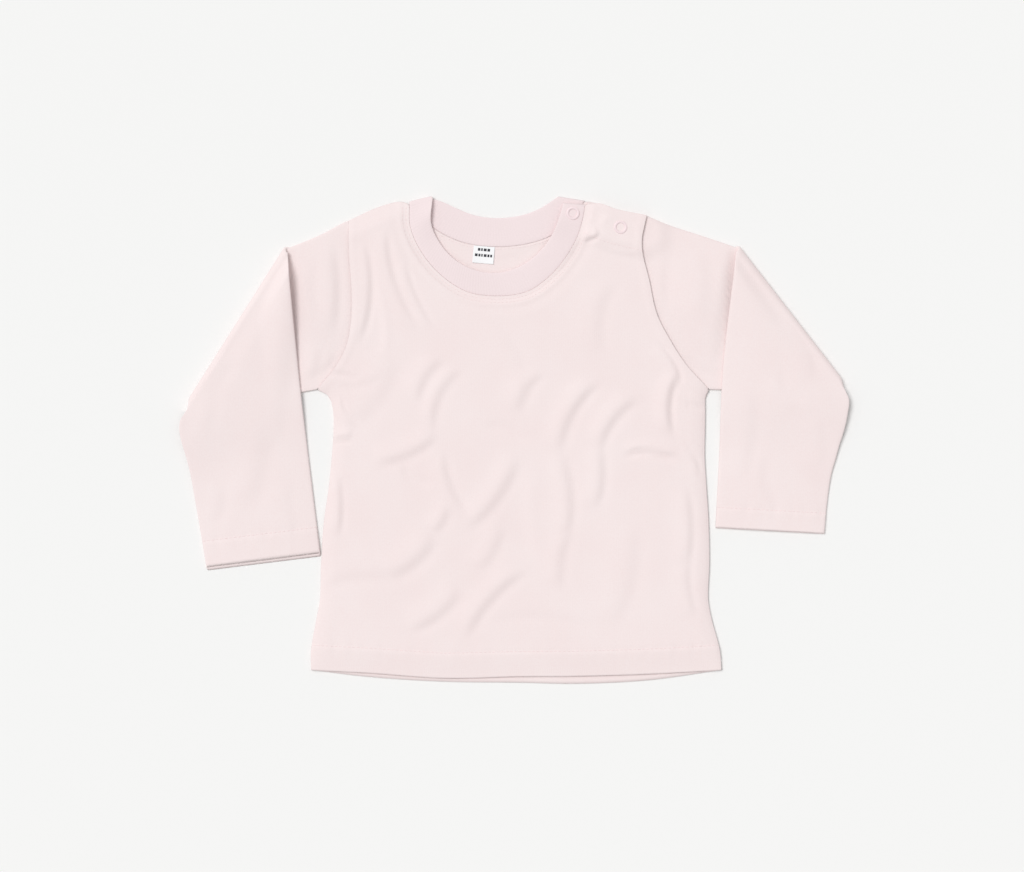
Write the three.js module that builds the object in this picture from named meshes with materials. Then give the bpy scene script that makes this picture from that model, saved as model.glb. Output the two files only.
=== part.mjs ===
// A baby's long-sleeve top in thin cotton jersey, lying flat on its back.
// Both forearms are folded forward over the upper sleeves, along a slanting crease.
// Millimetres. X runs across the chest, Y up to the neck, Z up from the surface it lies on.
// "Left" and "right" are as seen by someone looking down at the front.
import * as THREE from 'three';

// ---------- driving sizes ----------
const CLOTH = 1.0;               // one layer of jersey
const GAP = 0.3;                 // air between two layers, and along a sewn seam
const LAYER = CLOTH + GAP;       // rise from one layer to the next
const PAIR = CLOTH + LAYER;      // height of two layers, as of a flat sleeve
const RIB = 1.6;                 // the neckband, a strip of rib folded double
const FOLD_LOOP = 2.4;           // how far a folded sleeve springs open at its crease
const CORNER = 0.08;             // share of the crease over which its elbow end is rounded off
const SETTLE = 50;               // distance over which the folded forearm settles again
const DRAPE = 18;                // distance over which a layer comes down past an edge
const PLACKET_RISE = 2 * LAYER;  // two hidden strips under the front's right shoulder
const PLACKET_REACH = 20;        // half width of the stretch that they hold up
const PLACKET_RUNOUT = 14;       // distance over which the front comes down round it
const SEAM_EASE = 0.8;           // the curved armhole seams need a little more air between facets
const SNAP = { radius: 4.7, hole: 2.6, height: 1.1, stud: CLOTH };
const LABEL = { width: 15, length: 12, turn: -0.07 };

// ---------- short tables: one line of column names, then a row for each section ----------
function table(names, ...rows) {
  const columns = names.split(' ');
  return rows.map((row) => Object.fromEntries(row.map((value, i) => [columns[i], value])));
}

// Side seams, from the hem up to the underarm.
const SIDES = table('y left right',
  [-163.3, -145.2, 145.9],
  [-149, -145.2, 144.7],
  [-127, -141.4, 138.9],
  [-113, -138.9, 136.4],
  [-88, -138.1, 137.3],
  [-57, -136.0, 136.7],
  [-35, -132.8, 135.3],
  [-11, -130.4, 133.9],
  [6, -129.3, 134.2],
  [21, -129.6, 134.4],
  [31, -132.6, 134.6],
  [35.6, -141.2, 137.4]);

// Armhole seams, from the underarm up to the tip of the shoulder.
const ARMHOLES = table('left_x left_y right_x right_y',
  [-141.2, 35.6, 137.4, 35.6],
  [-128.2, 51.0, 120.7, 53.3],
  [-120.3, 66.0, 110.4, 68.9],
  [-117.0, 82.0, 99.8, 89.5],
  [-116.1, 99.4, 94.8, 112.2],
  [-118.2, 132.1, 89.1, 138.5],
  [-118.6, 155.4, 92.7, 159.0]);

// Lower edges: the back's shows a little below the front's.
const HEMS = table('x front back',
  [-145.2, -163.3, -163.3],
  [-104, -165.4, -168.2],
  [-51, -169.0, -171.5],
  [3, -167.8, -172.2],
  [41, -167.6, -173.0],
  [93, -166.1, -170.6],
  [145.9, -163.3, -163.3]);

// Shoulder edges, each from the neck out to the armhole.
const LEFT_SHOULDER = table('x y', [-77.0, 167.4], [-82, 168.9], [-98.3, 164.7], [-118.6, 155.4]);
const RIGHT_SHOULDER = table('x y', [50.6, 168.6], [59.3, 167.4], [71.4, 163.3], [92.7, 159.0]);

// The neckband, section by section: its free edge, its sewn seam, and how high it lies.
const BAND_FRONT = table('edge_x edge_y seam_x seam_y base',
  [33.6, 167.8, 49.2, 166.6, 3.2],
  [31.0, 158.5, 47.6, 157.5, 3.2],
  [27.2, 148.5, 43.8, 144.6, 2.9],
  [20.2, 137.2, 36.6, 131.2, 2.0],
  [11.0, 128.2, 26.0, 118.0, 1.4],
  [-0.6, 121.6, 8.6, 105.4, LAYER],
  [-14.8, 118.4, -12.6, 102.0, LAYER],
  [-30.6, 121.0, -35.0, 105.2, LAYER],
  [-44.6, 129.0, -55.0, 118.6, LAYER],
  [-54.8, 141.2, -68.2, 135.2, 1.5],
  [-60.0, 154.0, -75.0, 151.6, RIB + GAP],
  [-58.9, 171.2, -75.5, 167.2, RIB + GAP]);
const BAND_BACK = table('edge_x edge_y seam_x seam_y base',
  [-58.9, 171.2, -75.5, 167.2, 0],
  [-50.6, 168.2, -65.5, 156.5, 0],
  [-42.0, 164.2, -54.2, 147.6, 0],
  [-29.6, 159.4, -35.6, 139.6, 0],
  [-13.8, 157.3, -12.6, 137.0, 0],
  [3.4, 159.1, 9.4, 139.4, 0],
  [15.6, 163.3, 26.6, 145.6, 0],
  [23.8, 168.2, 38.5, 155.4, 0],
  [30.0, 172.6, 49.0, 169.6, 0]);

// Each sleeve as it lies: crease from apex to elbow, then the forearm down to the cuff.
const SLEEVES = {
  sleeve_left: {
    shoulder: table('x y', [-118.9, 155.5], [-131.7, 150.5], [-144.5, 142.4], [-160.8, 136.4]),
    inner: table('x y', [-161.4, 132.4], [-152.6, 36], [-138.9, -78.8]),
    outer: table('x y', [-233.6, 19.8], [-237.6, 13.5], [-238.2, 6], [-236.2, -3.5],
      [-233.2, -14], [-230.6, -25], [-226.8, -47], [-219.7, -88.8]),
    underarm: { x: -141.5, y: 35.0 },
    apex: { x: -164.4, y: 134.2 },
    elbow: { x: -236.1, y: 17.8 },
    cuff_gape: 4,
  },
  sleeve_right: {
    shoulder: table('x y', [93.0, 159.1], [119.6, 147.3], [139.5, 142], [155.6, 136.8]),
    inner: table('x y', [155.8, 133.0], [146.6, 49], [144.3, -10], [141.6, -61.8]),
    outer: table('x y', [233.4, 34.6], [236.0, 28], [235.0, 18], [232.8, 7], [229.6, -3.5],
      [226.8, -14], [223.8, -25], [220.8, -46], [219.0, -66]),
    underarm: { x: 137.7, y: 35.0 },
    apex: { x: 158.7, y: 134.9 },
    elbow: { x: 236.1, y: 32.0 },
    cuff_gape: 1,
  },
};

// The largest folds of the front: a soft ridge from one end to the other, bowed sideways.
const FOLDS = table('x0 y0 x1 y1 bow width height',
  [-92, 146, -66, 78, -5, 9, 2.0],
  [-109, 130, -110, 70, 5, 8, 1.6],
  [-100, -16, -54, 3, -3, 8, 2.0],
  [-50, -8, -33, -58, -3, 9, 2.2],
  [2, -13, -33, -62, 4, 9, 2.4],
  [-57, -72, -128, -101, 6, 11, 2.4],
  [8, -92, -32, -136, -4, 9, 2.0],
  [58, 40, 36, -104, -16, 10, 2.4],
  [88, 28, 58, -46, -8, 9, 2.2],
  [102, 66, 111, 4, 9, 8, 2.0],
  [76, -11, 114, -14, 2, 8, 2.2]);

// Grid and section counts.
const FRONT_GRID = { shoulder: 5, neck: 16, side: 15, armhole: 9 };
const BACK_GRID = { shoulder: 4, neck: 16, side: 9, armhole: 9 };
const SLEEVE_COLUMNS = 9;
const SLEEVE_STATIONS = { upper: 5, bend: 6, forearm: 10 };
const BAND_STEPS = { front: 30, turn: 5, back: 20 };

// ---------- small helpers ----------
const smooth = (t) => THREE.MathUtils.smoothstep(t, 0, 1);
const mix = (a, b, t) => new THREE.Vector2(a.x, a.y).lerp(new THREE.Vector2(b.x, b.y), t);

// A smooth curve through table rows, read at a fraction of its length.
function curve(points) {
  const path = new THREE.CatmullRomCurve3(
    points.map((p) => new THREE.Vector3(p.x, p.y, p.z ?? 0)), false, 'centripetal');
  return (t) => path.getPointAt(THREE.MathUtils.clamp(t, 0, 1));
}

const column = (rows, x, y) => rows.map((row) => ({ x: row[x], y: row[y] }));

// Points along several curves, each cut into its own number of steps.
function chain(...stretches) {
  const points = [];
  for (const { path, steps } of stretches) {
    for (let i = points.length ? 1 : 0; i <= steps; i += 1) points.push(path(i / steps));
  }
  return points;
}

// A mesh geometry from corners and faces.
function solid(corners, faces) {
  const geometry = new THREE.BufferGeometry();
  geometry.setAttribute('position', new THREE.Float32BufferAttribute(corners.flat(), 3));
  geometry.setIndex(faces.flat());
  geometry.computeVertexNormals();
  return geometry;
}

// Two triangles for a four-cornered face, counter-clockwise from outside.
const quad = (a, b, c, d) => [[a, b, c], [a, c, d]];

// ---------- heights ----------
// How much of the placket's rise the front has at a point: 1 over the strips, 0 away from them.
function placketLift(x, y) {
  const [from, to] = [new THREE.Vector2(49, 158), new THREE.Vector2(91, 147)];
  const along = to.clone().sub(from);
  const here = new THREE.Vector2(x, y).sub(from);
  const t = THREE.MathUtils.clamp(here.dot(along) / along.lengthSq(), 0, 1);
  const away = here.distanceTo(along.multiplyScalar(t));
  return 1 - smooth((away - PLACKET_REACH) / PLACKET_RUNOUT);
}

// Height of one fold at a point: a rounded ridge that fades out at both ends.
function foldHeight(fold, x, y) {
  const along = new THREE.Vector2(fold.x1 - fold.x0, fold.y1 - fold.y0);
  const length = along.length();
  along.normalize();
  const here = new THREE.Vector2(x - fold.x0, y - fold.y0);
  const t = here.dot(along) / length;
  const bowed = fold.bow * 4 * t * (1 - t);
  const across = here.cross(along) + bowed;
  const fade = smooth(1 - Math.abs(2 * THREE.MathUtils.clamp(t, 0, 1) - 1) ** 3);
  const outside = Math.max(0, -t, t - 1) * length;
  return fold.height * fade * Math.exp(-((across / fold.width) ** 2) - (outside / fold.width) ** 2);
}

// Underside of the front: on the back, over the placket strips, and up in its folds.
function frontUnderside(x, y) {
  const folds = FOLDS.reduce((sum, fold) => sum + foldHeight(fold, x, y), 0);
  return LAYER + PLACKET_RISE * placketLift(x, y) + folds * (1 - placketLift(x, y));
}

const backUnderside = () => 0;

// ---------- panels ----------
// A four-sided net stretched between a hem, two sides and a top edge.
function net(hem, top, left, right) {
  const [columns, rows] = [hem.length - 1, left.length - 1];
  const points = [];
  for (let r = 0; r <= rows; r += 1) {
    const v = r / rows;
    points.push(hem.map((low, c) => {
      const u = c / columns;
      const lengthways = mix(low, top[c], v);
      const crossways = mix(left[r], right[r], u);
      const corners = mix(mix(hem[0], hem[columns], u), mix(top[0], top[columns], u), v);
      return lengthways.add(crossways).sub(corners);
    }));
  }
  return points;
}

// A wall of cloth on a net: its underside follows a height, its top is one layer above.
function panel(points, underside) {
  const step = 1;
  const corners = [];
  for (const row of points) {
    for (const p of row) {
      const low = underside(p.x, p.y);
      const slope_x = (underside(p.x + step, p.y) - underside(p.x - step, p.y)) / (2 * step);
      const slope_y = (underside(p.x, p.y + step) - underside(p.x, p.y - step)) / (2 * step);
      const thick = CLOTH * Math.hypot(1, slope_x, slope_y);
      corners.push([p.x, p.y, low], [p.x, p.y, low + thick]);
    }
  }
  const [rows, columns] = [points.length - 1, points[0].length - 1];
  const at = (r, c, top) => 2 * (r * (columns + 1) + c) + top;
  const faces = [];
  for (let r = 0; r < rows; r += 1) {
    for (let c = 0; c < columns; c += 1) {
      faces.push(...quad(at(r, c, 1), at(r, c + 1, 1), at(r + 1, c + 1, 1), at(r + 1, c, 1)));
      faces.push(...quad(at(r, c, 0), at(r + 1, c, 0), at(r + 1, c + 1, 0), at(r, c + 1, 0)));
    }
  }
  for (let c = 0; c < columns; c += 1) {
    faces.push(...quad(at(0, c, 0), at(0, c + 1, 0), at(0, c + 1, 1), at(0, c, 1)));
    faces.push(...quad(at(rows, c + 1, 0), at(rows, c, 0), at(rows, c, 1), at(rows, c + 1, 1)));
  }
  for (let r = 0; r < rows; r += 1) {
    faces.push(...quad(at(r + 1, 0, 0), at(r, 0, 0), at(r, 0, 1), at(r + 1, 0, 1)));
    faces.push(...quad(at(r, columns, 0), at(r + 1, columns, 0),
      at(r + 1, columns, 1), at(r, columns, 1)));
  }
  return solid(corners, faces);
}

// The neck edge of a panel: the band's seam, set off square to it. `turn` picks the outer side.
function neckline(band, turn) {
  const seam = column(band, 'seam_x', 'seam_y');
  return seam.map((p, i) => {
    const [back, ahead] = [seam[Math.max(0, i - 1)], seam[Math.min(seam.length - 1, i + 1)]];
    const along = new THREE.Vector2(ahead.x - back.x, ahead.y - back.y).setLength(SEAM_EASE);
    return { x: p.x - turn * along.y, y: p.y + turn * along.x };
  });
}

function bodyPanel(grid, hem_name, neck, underside) {
  const hem_steps = 2 * grid.shoulder + grid.neck;
  const hem = chain({ path: curve(column(HEMS, 'x', hem_name)), steps: hem_steps });
  const inner_neck = [LEFT_SHOULDER[0], ...neck.slice(1, -1), RIGHT_SHOULDER[0]];
  const top = chain(
    { path: curve([...LEFT_SHOULDER].reverse()), steps: grid.shoulder },
    { path: curve(inner_neck), steps: grid.neck },
    { path: curve(RIGHT_SHOULDER), steps: grid.shoulder });
  const edge = (side) => chain(
    { path: curve(column(SIDES, side, 'y')), steps: grid.side },
    { path: curve(column(ARMHOLES, `${side}_x`, `${side}_y`)), steps: grid.armhole });
  return panel(net(hem, top, edge('left'), edge('right')), underside);
}

const frontPanel = () => bodyPanel(
  FRONT_GRID, 'front', neckline(BAND_FRONT, 1).reverse(), frontUnderside);
const backPanel = () => bodyPanel(
  BACK_GRID, 'back', neckline(BAND_BACK, -1), backUnderside);

// ---------- neckband ----------
// One strip: down round the front, over at the left shoulder, and along the back.
function neckband() {
  const sections = [];
  const follow = (rows, steps) => {
    const edge = curve(column(rows, 'edge_x', 'edge_y'));
    const seam = curve(column(rows, 'seam_x', 'seam_y'));
    const base = curve(rows.map((row, i) => ({ x: i, y: row.base })));
    for (let i = 0; i <= steps; i += 1) {
      const t = i / steps;
      sections.push({ edge: edge(t), seam: seam(t), low: base(t).y, high: base(t).y + RIB });
    }
  };
  follow(BAND_FRONT, BAND_STEPS.front);
  const last = sections.at(-1);
  const across = last.edge.clone().sub(last.seam).normalize();
  const out = new THREE.Vector3(-across.y, across.x, 0);
  const axis = RIB + GAP / 2;
  for (let i = 1; i < BAND_STEPS.turn; i += 1) {
    const angle = Math.PI * i / BAND_STEPS.turn;
    const turned = (radius) => ({
      shift: out.clone().multiplyScalar(radius * Math.sin(angle)),
      z: axis + radius * Math.cos(angle),
    });
    sections.push({ ...last, inside: turned(GAP / 2), outside: turned(GAP / 2 + RIB) });
  }
  follow(BAND_BACK, BAND_STEPS.back);
  const back_from = BAND_STEPS.front + BAND_STEPS.turn;
  const corners = [];
  sections.forEach((s, i) => {
    // the face that is on top along the front lies underneath along the back
    const faces = s.inside
      ? [[s.inside.shift, s.inside.z], [s.outside.shift, s.outside.z]]
      : [s.low, s.high].map((z) => [new THREE.Vector3(), z]);
    if (i >= back_from) faces.reverse();
    const [[in_shift, in_z], [out_shift, out_z]] = faces;
    for (const [end, shift, z] of [[s.edge, in_shift, in_z], [s.seam, in_shift, in_z],
      [s.seam, out_shift, out_z], [s.edge, out_shift, out_z]]) {
      corners.push([end.x + shift.x, end.y + shift.y, z]);
    }
  });
  const faces = [];
  const at = (section, corner) => 4 * section + corner % 4;
  for (let i = 0; i + 1 < sections.length; i += 1) {
    for (let k = 0; k < 4; k += 1) {
      faces.push(...quad(at(i, k), at(i, k + 1), at(i + 1, k + 1), at(i + 1, k)));
    }
  }
  const end = sections.length - 1;
  faces.push(...quad(at(0, 3), at(0, 2), at(0, 1), at(0, 0)));
  faces.push(...quad(at(end, 0), at(end, 1), at(end, 2), at(end, 3)));
  return solid(corners, faces);
}

// ---------- sleeves ----------
// A flat tube of one wall, open at the armhole and at the cuff, folded over on its crease.
function sleeve(shape, armhole) {
  const apex = new THREE.Vector2(shape.apex.x, shape.apex.y);
  const crease = mix(shape.elbow, { x: 0, y: 0 }, 0).sub(apex).normalize();
  const side = Math.sign(shape.apex.x);
  const out = new THREE.Vector2(-crease.y, crease.x).multiplyScalar(side);
  const axis = PAIR + (GAP + FOLD_LOOP) / 2;
  const [shoulder, inner, outer] = [shape.shoulder, shape.inner, shape.outer].map(curve);
  const start = { top: inner(0), under: outer(0) };
  const under_edge = new THREE.Vector2(start.under.x, start.under.y)
    .sub(mix(shape.underarm, shape.underarm, 0)).normalize();
  const below = new THREE.Vector2(under_edge.y, -under_edge.x).multiplyScalar(side);
  const cuff_way = mix(outer(1), outer(1), 0).sub(mix(outer(0.6), outer(0.6), 0)).normalize();

  // how far the forearm has come down from its crease at a point
  const comeDown = (p) => {
    const from_crease = -p.clone().sub(apex).dot(out);
    const past_edge = p.clone().sub(mix(start.under, start.under, 0)).dot(below);
    return FOLD_LOOP * smooth(from_crease / SETTLE)
      + 2 * LAYER * smooth((past_edge - 1) / DRAPE);
  };

  const stations = [];
  const { upper, bend, forearm } = SLEEVE_STATIONS;
  for (let i = 0; i <= upper; i += 1) {
    const k = i / upper;
    const top = shoulder(k);
    const under = mix(shape.underarm, start.under, k);
    const straight = (t) => mix(top, under, t);
    const curved = (t) => {
      const [p, back, ahead] = [armhole(1 - t), armhole(0.99 - t), armhole(1.01 - t)];
      const tangent = ahead.sub(back).normalize();
      return new THREE.Vector2(p.x + side * tangent.y * SEAM_EASE, p.y - side * tangent.x * SEAM_EASE);
    };
    stations.push({ at: (t) => mix(curved(t), straight(t), smooth(k)), angle: 0, forearm: -1 });
  }
  for (let i = 1; i <= bend; i += 1) {
    stations.push({ at: (t) => mix(start.top, start.under, t), angle: Math.PI * i / bend, forearm: 0 });
  }
  for (let i = 1; i <= forearm; i += 1) {
    const k = i / forearm;
    stations.push({ at: (t) => mix(inner(k), outer(k), t), angle: Math.PI, forearm: k });
  }

  // a point of the tube's wall: t across the sleeve, h up through its two layers
  const place = (station, t, h) => {
    const radius = axis - h;
    const reach = radius * Math.sin(station.angle) * (1 - smooth((t - 1 + CORNER) / CORNER));
    const p = station.at(t).add(out.clone().multiplyScalar(reach));
    let z = axis - radius * Math.cos(station.angle);
    const upper_share = THREE.MathUtils.clamp(h / PAIR, 0, 1);
    if (station.forearm > 0) {
      z -= comeDown(p);
      const gape = shape.cuff_gape * smooth((station.forearm - 0.8) / 0.2) * upper_share;
      p.add(cuff_way.clone().multiplyScalar(gape));
    }
    if (station.forearm < 0) z += PLACKET_RISE * placketLift(p.x, p.y) * upper_share;
    return [p.x, p.y, z];
  };

  // one closed loop round the tube, `inset` in from its outer face
  const loop = (station, inset, low, high) => {
    const width = station.at(0).distanceTo(station.at(1));
    const round = 0.6;
    const at = (mm) => mm / width;
    const points = [place(station, at(inset), PAIR / 2)];
    for (let i = 0; i <= SLEEVE_COLUMNS; i += 1) {
      const mm = inset + round + (width - 2 * (inset + round)) * i / SLEEVE_COLUMNS;
      points.push(place(station, at(mm), low));
    }
    points.push(place(station, at(width - inset), PAIR / 2));
    for (let i = SLEEVE_COLUMNS; i >= 0; i -= 1) {
      const mm = inset + round + (width - 2 * (inset + round)) * i / SLEEVE_COLUMNS;
      points.push(place(station, at(mm), high));
    }
    return points;
  };

  const corners = [];
  for (const station of stations) {
    corners.push(...loop(station, 0, 0, PAIR), ...loop(station, CLOTH, CLOTH, LAYER));
  }
  const count = 2 * SLEEVE_COLUMNS + 4;
  const outside = (s, k) => s * 2 * count + k % count;
  const inside = (s, k) => outside(s, k) + count;
  const faces = [];
  const end = stations.length - 1;
  for (let k = 0; k < count; k += 1) {
    for (let s = 0; s < end; s += 1) {
      faces.push(...quad(outside(s, k), outside(s, k + 1), outside(s + 1, k + 1), outside(s + 1, k)));
      faces.push(...quad(inside(s, k), inside(s + 1, k), inside(s + 1, k + 1), inside(s, k + 1)));
    }
    faces.push(...quad(outside(0, k), inside(0, k), inside(0, k + 1), outside(0, k + 1)));
    faces.push(...quad(outside(end, k), outside(end, k + 1), inside(end, k + 1), inside(end, k)));
  }
  if (side > 0) faces.forEach((face) => face.reverse());
  return solid(corners, faces);
}

// ---------- placket, snaps and label ----------
// Outline of the strips under the right shoulder: shoulder edge on top, 18 mm deep.
const PLACKET_DEPTH = 18;
const PLACKET_ENDS = { neck_top: { x: 50.4, y: 168.2 }, neck_low: { x: 46.6, y: 149.6 } };
const SNAPS = { neck: { x: 40.4, y: 160.5 }, shoulder: { x: 74.1, y: 150.5 } };

function placketStrip(low, stud_hole) {
  const shoulder = curve(RIGHT_SHOULDER.map((p) => ({ x: p.x, y: p.y - 0.6 })));
  const top = [0.02, 0.3, 0.6, 0.98].map(shoulder);
  const outline = new THREE.Shape();
  outline.moveTo(PLACKET_ENDS.neck_low.x, PLACKET_ENDS.neck_low.y);
  outline.lineTo(top[3].x - 3, top[3].y - PLACKET_DEPTH - 3);
  [...top].reverse().forEach((p) => outline.lineTo(p.x, p.y));
  if (stud_hole) {
    const hole = new THREE.Path();
    hole.absarc(SNAPS.shoulder.x, SNAPS.shoulder.y, SNAP.radius + 2 * GAP, 0, 2 * Math.PI, true);
    outline.holes.push(hole);
  }
  return new THREE.ExtrudeGeometry(outline, { depth: CLOTH, bevelEnabled: false, curveSegments: 16 })
    .translate(0, 0, low);
}

// The open ring of a press stud, lying on the cloth.
function snapRing(place, low) {
  const rim = 0.5;
  const { hole, radius, height } = SNAP;
  const profile = [[hole, 0], [radius, 0], [radius, height - rim], [radius - rim, height],
    [hole + rim, height], [hole, height - rim], [hole, 0]];
  return new THREE.LatheGeometry(profile.map(([x, y]) => new THREE.Vector2(x, y)), 24)
    .rotateX(Math.PI / 2)
    .translate(place.x, place.y, low);
}

// The hidden lower half of a press stud, a plain disc.
const snapStud = (place, low) => new THREE.CylinderGeometry(SNAP.radius, SNAP.radius, SNAP.stud, 20)
  .rotateX(Math.PI / 2)
  .translate(place.x, place.y, low + SNAP.stud / 2);

// The small size label, sewn in under the back of the neckband.
const sizeLabel = () => new THREE.BoxGeometry(LABEL.width, LABEL.length, CLOTH)
  .rotateZ(LABEL.turn)
  .translate(-22.7, 130.0, LAYER + CLOTH / 2);

// ---------- the whole top ----------
const COTTON = new THREE.MeshStandardMaterial({ color: '#f5e4e4', roughness: 0.9, metalness: 0 });
const RIBBED = new THREE.MeshStandardMaterial({ color: '#f4e0e1', roughness: 0.9, metalness: 0 });
const PLASTIC = new THREE.MeshStandardMaterial({ color: '#f2dcdf', roughness: 0.4, metalness: 0 });
const SATIN = new THREE.MeshStandardMaterial({ color: '#fbfbfb', roughness: 0.6, metalness: 0 });

const top = new THREE.Group();
function add(name, geometry, material) {
  const mesh = new THREE.Mesh(geometry, material);
  mesh.name = name;
  top.add(mesh);
}

const armhole = (side) => curve(column(ARMHOLES, `${side}_x`, `${side}_y`));
add('back_panel', backPanel(), COTTON);
add('front_panel', frontPanel(), COTTON);
add('sleeve_left', sleeve(SLEEVES.sleeve_left, armhole('left')), COTTON);
add('sleeve_right', sleeve(SLEEVES.sleeve_right, armhole('right')), COTTON);
add('neckband', neckband(), RIBBED);
add('placket_back', placketStrip(LAYER, false), COTTON);
add('placket_front', placketStrip(2 * LAYER, true), COTTON);
add('snap_neck_ring', snapRing(SNAPS.neck, BAND_FRONT[0].base + RIB + GAP), PLASTIC);
add('snap_neck_stud', snapStud(SNAPS.neck, RIB + GAP), PLASTIC);
add('snap_shoulder_ring', snapRing(SNAPS.shoulder, 4 * LAYER), PLASTIC);
add('snap_shoulder_stud', snapStud(SNAPS.shoulder, 2 * LAYER), PLASTIC);
add('size_label', sizeLabel(), SATIN);

// The origin is the middle of the top's outline, on the surface it lies on.
const box = new THREE.Box3().setFromObject(top);
const middle = box.getCenter(new THREE.Vector3());
top.position.set(-middle.x, -middle.y, -box.min.z);

export default top;
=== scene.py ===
# %% [markdown]
# # A baby's long-sleeve top, laid flat
# The top is thin cotton jersey, soft and matt. It lies on its back on a pale table, its forearms folded
# forward. The cut pieces come from a rigid model, which gives each its place. Here each becomes cloth:
# a thin shell with creases, seams, hems and stitches. Everything is in metres, +Z up, neck towards +Y.

# %% Load the rigid model
import math
import bmesh
import bpy
import numpy as np
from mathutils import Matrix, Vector


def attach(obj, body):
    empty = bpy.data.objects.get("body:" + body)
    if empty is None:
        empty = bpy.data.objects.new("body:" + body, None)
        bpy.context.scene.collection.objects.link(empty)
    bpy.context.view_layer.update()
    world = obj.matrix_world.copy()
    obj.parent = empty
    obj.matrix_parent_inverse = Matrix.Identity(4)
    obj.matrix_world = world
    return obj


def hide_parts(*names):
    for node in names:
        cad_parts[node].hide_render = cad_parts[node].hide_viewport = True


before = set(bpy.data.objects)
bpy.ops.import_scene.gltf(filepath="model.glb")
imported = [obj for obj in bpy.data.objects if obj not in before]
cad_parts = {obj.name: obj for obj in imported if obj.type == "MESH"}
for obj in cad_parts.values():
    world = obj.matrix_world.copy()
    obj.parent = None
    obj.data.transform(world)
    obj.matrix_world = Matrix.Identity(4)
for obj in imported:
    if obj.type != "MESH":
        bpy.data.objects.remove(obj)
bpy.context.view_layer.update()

MM = 0.001

# %% [markdown]
# ## Sizes
# A cut piece is drawn from a few measured sections, each a row of a short table: millimetres, with the
# middle of the outline as the origin. The same tables shape the rigid model, so both fit each other.

# %% Driving sizes
CLOTH, RIB = 0.9, 1.5
LAYER, PAIR = 1.3, 2.3
# a folded sleeve springs open at its crease, settles away from it and comes down past an edge
FOLD_LOOP, SETTLE, DRAPE, CORNER = 2.4, 50.0, 44.0, 0.08
PLACKET_RISE, PLACKET_REACH, PLACKET_RUNOUT = 2.6, 9.5, 12.0
SIGN = {"left": -1.0, "right": 1.0}
# from the tables' origin to the middle of the whole outline
SHIFT = np.array([1.11, 0.10])


def table(names, *rows):
    """A table's columns by name."""
    return {name: np.array(column, float) for name, column in zip(names.split(), zip(*rows))}


SIDES = table(
    "y left right",
    (-163.3, -145.2, 145.9), (-149, -145.2, 144.7), (-127, -141.4, 138.9), (-113, -138.9, 136.4),
    (-88, -138.1, 137.3), (-57, -136.0, 136.7), (-35, -132.8, 135.3), (-11, -130.4, 133.9),
    (6, -129.3, 134.2), (21, -129.6, 134.4), (31, -132.6, 134.6), (35.6, -141.2, 137.4))
ARMHOLES = table(
    "left_x left_y right_x right_y",
    (-141.2, 35.6, 137.4, 35.6), (-128.2, 51.0, 120.7, 53.3), (-120.3, 66.0, 110.4, 68.9),
    (-117.0, 82.0, 99.8, 89.5), (-116.1, 99.4, 94.8, 112.2), (-118.2, 132.1, 89.1, 138.5),
    (-118.6, 155.4, 92.7, 159.0))
HEMS = table(
    "x front back",
    (-145.2, -163.3, -163.3), (-104, -165.4, -168.2), (-51, -169.0, -171.5), (3, -167.8, -172.2),
    (41, -167.6, -173.0), (93, -166.1, -170.6), (145.9, -163.3, -163.3))
LEFT_SHOULDER = table("x y", (-77.0, 167.4), (-82, 168.9), (-98.3, 164.7), (-118.6, 155.4))
RIGHT_SHOULDER = table("x y", (50.6, 168.6), (59.3, 167.4), (71.4, 163.3), (92.7, 159.0))

# %% The neckband's sections: free edge, sewn seam and height of the underside
BAND_FRONT = table(
    "edge_x edge_y seam_x seam_y base",
    (33.6, 167.8, 49.2, 166.6, 3.2), (31.0, 158.5, 47.6, 157.5, 3.2), (27.2, 148.5, 43.8, 144.6, 2.9),
    (20.2, 137.2, 36.6, 131.2, 2.0), (11.0, 128.2, 26.0, 118.0, 1.4), (-0.6, 121.6, 8.6, 105.4, 1.3),
    (-14.8, 118.4, -12.6, 102.0, 1.3), (-30.6, 121.0, -35.0, 105.2, 1.3),
    (-44.6, 129.0, -55.0, 118.6, 1.3), (-54.8, 141.2, -68.2, 135.2, 1.5),
    (-60.0, 154.0, -75.0, 151.6, 1.9), (-58.9, 171.2, -75.5, 167.2, 1.9))
BAND_BACK = table(
    "edge_x edge_y seam_x seam_y base",
    (-58.9, 171.2, -75.5, 167.2, 0), (-50.6, 168.2, -65.5, 156.5, 0), (-42.0, 164.2, -54.2, 147.6, 0),
    (-29.6, 159.4, -35.6, 139.6, 0), (-13.8, 157.3, -12.6, 137.0, 0), (3.4, 159.1, 9.4, 139.4, 0),
    (15.6, 163.3, 26.6, 145.6, 0), (23.8, 168.2, 38.5, 155.4, 0), (30.0, 172.6, 49.0, 169.6, 0))

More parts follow.
